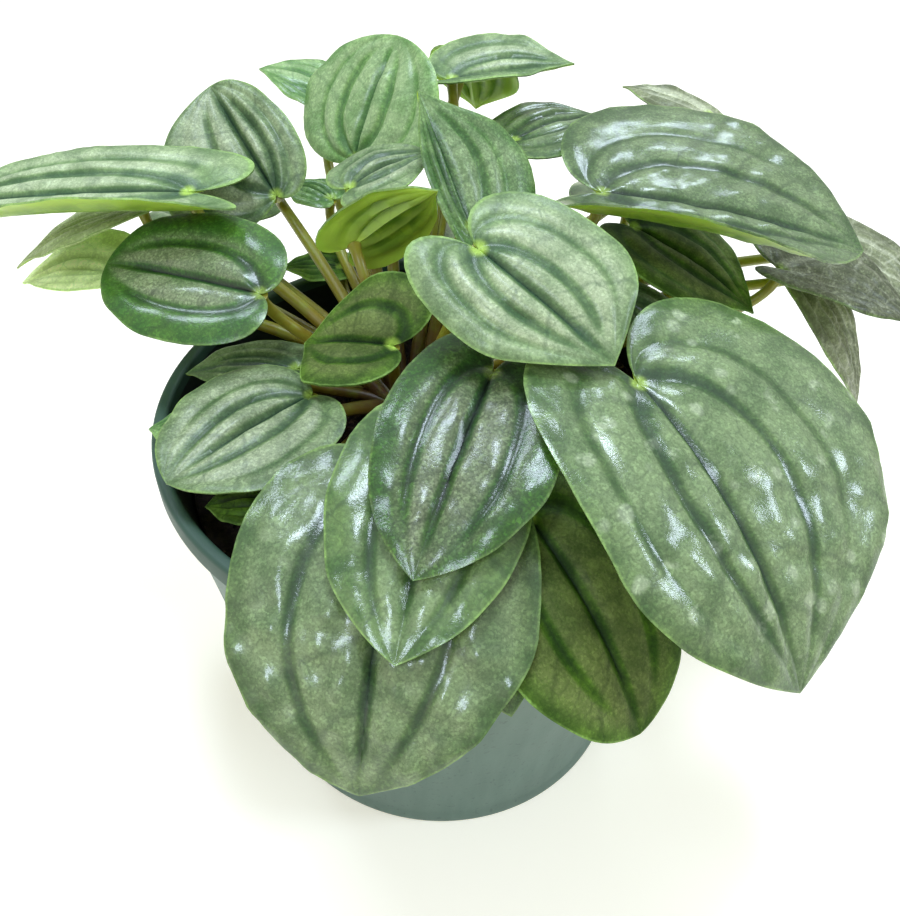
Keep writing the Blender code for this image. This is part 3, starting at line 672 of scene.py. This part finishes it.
def upper_skin(look):
    """Waxy upper skin: silver pleats and dark veins under a soft sheen, with small sharp glints."""
    colours = LOOKS[look]
    finish, tree, shader, place = new_finish("waxy_leaf_upper_" + look)
    grain = {"Vector": place, "Scale": 1 / (SKIN_GRAIN * MM), "Detail": 2, "Roughness": 0.7}
    grain = lay(tree, "TexNoise", {}, grain)
    lump = {"Vector": place, "Scale": 1 / (LUMP * MM), "Detail": 2, "Roughness": 0.35}
    lump = lay(tree, "TexNoise", {}, lump)
    mottle = {"Vector": place, "Scale": 1 / (MOTTLE * MM), "Detail": 5, "Roughness": 0.6}
    mottle = lay(tree, "TexNoise", {}, mottle)

    # The values that the blade's mesh carries, in mm or as shares
    groove, margin, seat, silver, tone, blotch, branch = (
        lay(tree, "Attribute", {"attribute_name": name}, {}, "Fac")
        for name in ("groove", "margin", "seat", "silver", "tone", "blotch", "branch")
    )

    # Round blotches, the fine net and the side veins, all drawn a little crooked by the lumps
    crooked = {0: lump, 1: (CROOKED * MM, CROOKED * MM, CROOKED * MM), 2: place}
    crooked = lay(tree, "VectorMath", {"operation": "MULTIPLY_ADD"}, crooked)
    spots = {"Vector": crooked, "Scale": 1 / (BLOTCH_SPACING * MM)}
    spots = lay(tree, "TexVoronoi", {}, spots, "Distance")
    net = {"Vector": crooked, "Scale": 1 / (NET_SPACING * MM)}
    net = lay(tree, "TexVoronoi", {"feature": "DISTANCE_TO_EDGE"}, net, "Distance")
    side = lay(tree, "Math", {"operation": "MULTIPLY_ADD"}, {0: lump, 1: SIDE_CROOKED, 2: branch})
    side = lay(tree, "Math", {"operation": "PINGPONG"}, {0: side, 1: 0.5})

    # Mottled flesh, silver in fine grains that thins in patches and towards the margin, pale blotches,
    # the net, the veins and their dark floors, the side veins, the margin and the seat of the stalk
    silver_parts = [
        (groove, 0.1, 0.6, 1, 0),
        (margin, 0.3, 5, 0.15, 1),
        silver,
        (grain, 0.3, 0.7, 0.75, 1.2),
        (mottle, 0.32, 0.6, 0.5, 1),
        colours["share"],
    ]
    layers = [
        ([(mottle, 0.4, 0.6, 0, 1)], colours["pale"]),
        (silver_parts, colours["silver"]),
        ([(spots, 0.16, 0.3, 1, 0), blotch, (mottle, 0.4, 0.52, 0, 1)], BLOTCH_PALE),
        ([(net, 0, 0.09, 1, 0), (mottle, 0.4, 0.65, 0, 0.3)], colours["vein"]),
        ([(groove, 0.3, 1, 0, 0.7)], colours["vein"]),
        ([(groove, 0.84, 1, 0, 0.8)], colours["vein"]),
        ([(side, 0, 0.11, 1, 0), (mottle, 0.35, 0.6, 0.1, 0.35)], colours["vein"]),
        ([(margin, 0.15, MARGIN_LINE, 1, 0), (mottle, 0.35, 0.6, 0.15, 0.65)], MARGIN_GREEN),
        ([(seat, 0.6, 2, 0.85, 0)], SEAT_GREEN),
    ]
    base = layered(tree, colours["green"], layers)

    # Single cells of the skin are painted brighter, as fine pale sand: painted glints where the cells catch
    # the light one by one.
    # Leaves also differ in tone, partly their own colour and partly painted light and shade. The
    # real cells and grain are too fine to show in the render, so both are drawn about 0.4 mm wide
    cells = lay(tree, "TexVoronoi", {}, {"Vector": place, "Scale": 1 / (SKIN_CELL * MM)}, "Color")
    cells = lay(tree, "SeparateColor", {}, {"Color": cells}, "Red")
    painted_glint = lay(tree, "MapRange", SMOOTH, {0: cells, 1: 0.55, 2: 1, 3: 0, 4: 0.34})
    light = lay(tree, "MapRange", SMOOTH, {0: grain, 1: 0.32, 2: 0.7, 3: 0.9, 4: 1.12})
    for more in (painted_glint, tone):
        light = lay(tree, "Math", {"operation": "ADD"}, {0: light, 1: more})
    base = lay(tree, "HueSaturation", {}, {"Color": base, "Value": light})
    tree.links.new(base, shader.inputs["Base Color"])

    # Wax: a broad dull sheen, with small sharp glints where the puckers face a light
    dull = lay(tree, "MapRange", SMOOTH, {0: mottle, 1: 0.35, 2: 0.65, 3: 0.6, 4: 0.45})
    tree.links.new(dull, shader.inputs["Roughness"])
    shader.inputs["Coat Weight"].default_value = colours["coat"]
    shader.inputs["Coat Roughness"].default_value = 0.3 - 0.2 * colours["coat"]
    shader.inputs["Coat IOR"].default_value = 1.6
    shader.inputs["Specular IOR Level"].default_value = 0.12 + 0.2 * colours["coat"]
    sandy = lay(tree, "Bump", {}, {"Height": grain, "Strength": 0.6, "Distance": 0.1 * MM})
    waxed = lay(tree, "Bump", {}, {"Height": grain, "Strength": 0.45, "Distance": 0.07 * MM})
    tree.links.new(sandy, shader.inputs["Normal"])
    tree.links.new(waxed, shader.inputs["Coat Normal"])
    return finish


def under_skin(look):
    """Bare lower skin: soft translucent yellow-green, with a paler raised net of veins."""
    finish, tree, shader, place = new_finish("waxy_leaf_under_" + look)
    mottle = {"Vector": place, "Scale": 1 / (UNDER_MOTTLE * MM), "Detail": 4, "Roughness": 0.5}
    mottle = lay(tree, "TexNoise", {}, mottle)
    net = {"Vector": place, "Scale": 1 / (NET_SPACING * MM)}
    net = lay(tree, "TexVoronoi", {"feature": "DISTANCE_TO_EDGE"}, net, "Distance")
    groove, margin = (
        lay(tree, "Attribute", {"attribute_name": name}, {}, "Fac") for name in ("groove", "margin")
    )
    layers = [
        ([(mottle, 0.3, 0.7, 0, 1)], UNDER_LIME),
        ([(net, 0, 0.08, 0.5, 0)], UNDER_DEEP),
        ([(groove, 0.4, 1, 0, 0.7)], UNDER_VEIN),
        ([(margin, 0, 6, 0.8, 0)], UNDER_MARGIN),
    ]
    tree.links.new(layered(tree, UNDER_DEEP, layers), shader.inputs["Base Color"])
    shader.inputs["Roughness"].default_value = 0.42
    shader.inputs["Subsurface Weight"].default_value = 0.25
    shader.inputs["Subsurface Radius"].default_value = (0.6, 1.0, 0.1)
    shader.inputs["Subsurface Scale"].default_value = 1.0 * MM
    swell = lay(tree, "Bump", {}, {"Height": mottle, "Strength": 0.3, "Distance": 0.3 * MM})
    tree.links.new(swell, shader.inputs["Normal"])
    return finish


skins = {look: (upper_skin(look), under_skin(look)) for look in LOOKS}


def margin_of(s, leaf):
    """Half outline of the flat blade with a half width of 1, from the seat (s=0) round to the tip."""
    length = leaf["length"]
    widest = leaf["widest"] * length
    lobe = leaf["lobe"] * length
    base = ((0, 0), (-1.3 * lobe, 0.1), (-1.6 * lobe, 1), (widest, 1))
    top = (
        (widest, 1),
        (widest + 0.5 * (length - widest), 1),
        (length * (1 - leaf["point"]), leaf["blunt"]),
        (length, 0),
    )
    on_base = bezier(base, np.clip(s / WIDEST_ROW, 0, 1))
    on_top = bezier(top, np.clip((s - WIDEST_ROW) / (1 - WIDEST_ROW), 0, 1))
    return np.where((s < WIDEST_ROW)[..., None], on_base, on_top)


def puckers(x, y, phase):
    """Soft lumps of the skin, each at a place of its own near a point of a grid on the flat blade."""
    x, y = x / PUCKER_SPACING + phase, y / PUCKER_SPACING
    height = np.zeros_like(x)
    for step in range(9):
        column, line = np.floor(x) + step // 3 - 1, np.floor(y) + step % 3 - 1
        scatter = np.sin(column * 127.1 + line * 311.7) * 437.5
        far = np.hypot(x - column - scatter % 1, y - line - (3.7 * scatter) % 1)
        height = height + np.exp(-((far / PUCKER_ROUND) ** 2))
    return height - PUCKER_SINK


def grow(s, t, leaf, phase):
    """Upper side of a blade in mm, and its marks. s runs from seat to tip, t from -1 (right) to 1."""
    length = leaf["length"]
    out = np.abs(t)
    side = np.where(t >= 0, leaf["left"], leaf["right"])

    # Uneven margins: waves of unlike length, so that no two blades match
    ragged = np.sin(17 * s + 1.3 * phase + 2 * t) + 0.6 * np.sin(31 * s - 2.1 * phase + t)
    half = leaf["width"] / 2 * side * (1 + MARGIN_RAGGED * ragged * out**4 * np.sin(math.pi * s))
    edge = margin_of(s, leaf)
    swell = np.clip(np.sin(math.pi * s), 0, 1) ** 0.7

    # Veins wander a little, and fade on the way to the tip, the outer ones soonest
    wander = VEIN_WANDER * np.sin(7.3 * s + 2.1 * t + phase) * np.sin(math.pi * out) * swell
    spread = np.clip(out + wander, 0, 1)
    along = (1 - spread) * length * s + spread * edge[..., 0]
    across = spread * edge[..., 1]
    along = along + leaf["skew"] * half * across * np.sign(t)
    groove = np.zeros_like(s)
    for vein in range(leaf["veins"]):
        lean = np.where(t >= 0, 1, -1) * math.sin(2.4 * phase + 1.9 * vein)
        gap = np.abs(out - vein / leaf["veins"] * (1 + VEIN_LEAN * lean)) * half * edge[..., 1]
        ends = VEIN_ENDS[vein] + 0.06 * math.sin(1.7 * phase + 2.3 * vein)
        faded = np.clip((s - ends + VEIN_FADE) / VEIN_FADE, 0, 1) ** VEIN_CURVE
        strength = VEIN_STRENGTHS[vein] * (1 - faded)
        groove = np.maximum(groove, strength * np.exp(-((gap / GROOVE_WIDTH) ** 2)))
    branch = leaf["branches"] * (s - BRANCH_SLANT * out) + 0.13 * phase + np.where(t >= 0, 0.5, 0)
    marks = {
        "groove": groove,
        "margin": (1 - out) * half * edge[..., 1],
        "seat": np.hypot(along, half * across),
        "silver": 1 - np.clip((out - leaf["silver_to"]) / SILVER_FADE, 0, 1),
        "tone": np.full_like(s, leaf["tone"]),
        "blotch": np.full_like(s, leaf["blotch"]),
        "branch": branch,
    }

    # Puffed pleats between the veins, quilted by the branches, over a slow wave
    uneven = 1 + 0.18 * np.sin(5.1 * s + 3.0 * t + phase) + 0.1 * np.sin(11.0 * s - 4.0 * t + 2 * phase)
    calm = 1 - 0.75 * np.clip((s - 0.45) / 0.5, 0, 1)
    pillow = np.abs(np.sin(leaf["veins"] * math.pi * out)) ** 0.9 * calm
    pleat = leaf["pleat"] * (PILLOW * pillow + (1 - PILLOW) * (1 - groove))
    height = pleat * (1 - PLEAT_LOSS * out) * swell * uneven
    quilt = np.abs(np.sin(math.pi * branch)) ** 0.7 * np.sin(math.pi * np.clip(out, 0, 1)) ** 0.5
    height = height + leaf["quilt"] * (quilt - 0.6) * swell
    puckered = PUCKER_HEIGHT * leaf["pucker"] * puckers(along, half * across, phase)
    height = height + puckered * (1 - groove) * swell

    # Fold up from the midrib, then curl back down towards the margin
    fade = 1 - leaf["fade"] * s
    fold = np.radians(np.where(t >= 0, leaf["fold_left"], leaf["fold_right"])) * fade
    curl = np.radians(np.where(t >= 0, leaf["curl_left"], leaf["curl_right"])) * fade
    slope = fold - curl * across
    y = half / curl * (np.sin(fold) - np.sin(slope)) - PLEAT_LEAN * height * np.sin(slope)
    z = half / curl * (np.cos(slope) - np.cos(fold)) + height * np.cos(slope)
    wave = np.sin(9.0 * s + 1.7 * phase + t) + 0.5 * np.sin(23.0 * s + 0.9 * phase - 2 * t)
    z = z + MARGIN_WAVE * out**3 * swell * wave
    y = y * np.sign(t)

    # Droop from seat to tip on an arc
    bend = np.radians(np.where(along >= 0, leaf["bend"], leaf["back"]))
    angle = bend * along / length
    x = length / bend * np.sin(angle) + z * np.sin(angle)
    z = length / bend * (np.cos(angle) - 1) + z * np.cos(angle)
    return np.stack((x, y, z), axis=-1) @ axes_of(leaf).T + np.array(leaf["seat"], float), marks


for phase, (number, row) in enumerate(LEAVES.items()):
    leaf = dict(LEAF_DEFAULTS, **row)
    rows = max(FEWEST_ROWS, round(leaf["length"] / ROW_STEP))
    columns = COLUMN_GROUP * max(2, round(leaf["width"] / (COLUMN_GROUP * COLUMN_STEP)))
    bpy.ops.mesh.primitive_grid_add(x_subdivisions=rows, y_subdivisions=columns, size=2)
    blade = bpy.context.object
    blade.name = "blade_" + number
    flat = np.array([corner.co[:] for corner in blade.data.vertices])
    points, marks = grow((flat[:, 0] + 1) / 2, flat[:, 1], leaf, phase)
    blade.data.vertices.foreach_set("co", (points * MM).ravel())
    for name, values in marks.items():
        blade.data.attributes.new(name, "FLOAT", "POINT").data.foreach_set("value", values)
    body = blade.vertex_groups.new(name="body")
    for index, inward in enumerate(marks["margin"]):
        body.add([index], min(1.0, inward / FULL_BODY_AT), "REPLACE")
    bpy.ops.object.mode_set(mode="EDIT")
    bpy.ops.mesh.select_all(action="SELECT")
    bpy.ops.mesh.remove_doubles(threshold=0.02 * MM)
    bpy.ops.object.mode_set(mode="OBJECT")
    flesh = blade.modifiers.new("flesh", "SOLIDIFY")
    flesh.thickness = BLADE_THICKNESS * MM
    flesh.offset = -1
    flesh.vertex_group = "body"
    flesh.thickness_vertex_group = THIN_MARGIN
    flesh.material_offset = 1
    for skin in skins[leaf["look"]]:
        blade.data.materials.append(skin)
    bpy.ops.object.modifier_apply(modifier=flesh.name)
    bpy.ops.object.shade_smooth_by_angle(angle=math.radians(BLADE_EDGE))
    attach(blade, "root")
    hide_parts("leaf_" + number)


# Stage: a plain pale table top that runs out of sight, in the soft daylight of a room. Four small
# cool windows round it and one overhead give the wax its glints, and a broad warm light fills the front.
FLOOR_WHITE = "FBF6E8"
FLOOR_CREAM = "FCF9F0"
FLOOR_HAZE = 250.0
TABLE_PAINTED_GLOW = "FFF3CE"
TABLE_SIZE = 8
ROOM_WHITE = "FBFCFD"
WINDOW_BLUE = "DCEBFF"
FILL_WARM = "FFF1DF"
LIGHTS = {
    "window_back": dict(place=(0.2, 0.42, 0.62), size=0.13, power=1.0, colour=WINDOW_BLUE),
    "window_left": dict(place=(-0.3, 0.25, 0.67), size=0.14, power=1.3, colour=WINDOW_BLUE),
    "window_right": dict(place=(0.57, -0.08, 0.47), size=0.14, power=1.5, colour=WINDOW_BLUE),
    "window_front": dict(place=(-0.16, -0.42, 0.62), size=0.14, power=1.5, colour=WINDOW_BLUE),
    "overhead": dict(place=(0.0, 0.05, 0.8), size=0.16, power=2.9, colour=WINDOW_BLUE),
    "front_fill": dict(place=(-0.45, -0.6, 0.45), size=0.6, power=0.7, colour=FILL_WARM),
}
LIGHT_AIM = (0.0, 0.0, 0.09)
ROOM_LIGHT = 0.6

bpy.ops.mesh.primitive_plane_add(size=TABLE_SIZE)
table_top = bpy.context.object
table_top.name = "table_top"
table_finish, tree, shader, place = new_finish("pale_matt_table")
haze = lay(tree, "TexNoise", {}, {"Vector": place, "Scale": 1 / (FLOOR_HAZE * MM), "Detail": 2})
tree.links.new(layered(tree, FLOOR_WHITE, [([haze], FLOOR_CREAM)]), shader.inputs["Base Color"])
shader.inputs["Roughness"].default_value = 0.8
# Painted light: the table top glows faintly cream, though it is no lamp, which keeps it bright and its
# shadows cream
shader.inputs["Emission Color"].default_value = srgb(TABLE_PAINTED_GLOW)
shader.inputs["Emission Strength"].default_value = 0.2
table_top.data.materials.append(table_finish)
for name, light in LIGHTS.items():
    bpy.ops.object.light_add(type="AREA", location=light["place"])
    lamp = bpy.context.object
    lamp.name = name
    lamp.data.size = light["size"]
    lamp.data.energy = light["power"]
    lamp.data.color = srgb(light["colour"])[:3]
    toward = Vector(LIGHT_AIM) - Vector(light["place"])
    lamp.rotation_euler = toward.to_track_quat("-Z", "Y").to_euler()
room = bpy.data.worlds.new("soft_room")
bpy.context.scene.world = room
room.use_nodes = True
room.node_tree.nodes["Background"].inputs["Color"].default_value = srgb(ROOM_WHITE)
room.node_tree.nodes["Background"].inputs["Strength"].default_value = ROOM_LIGHT
bpy.context.scene.view_settings.view_transform = "Standard"
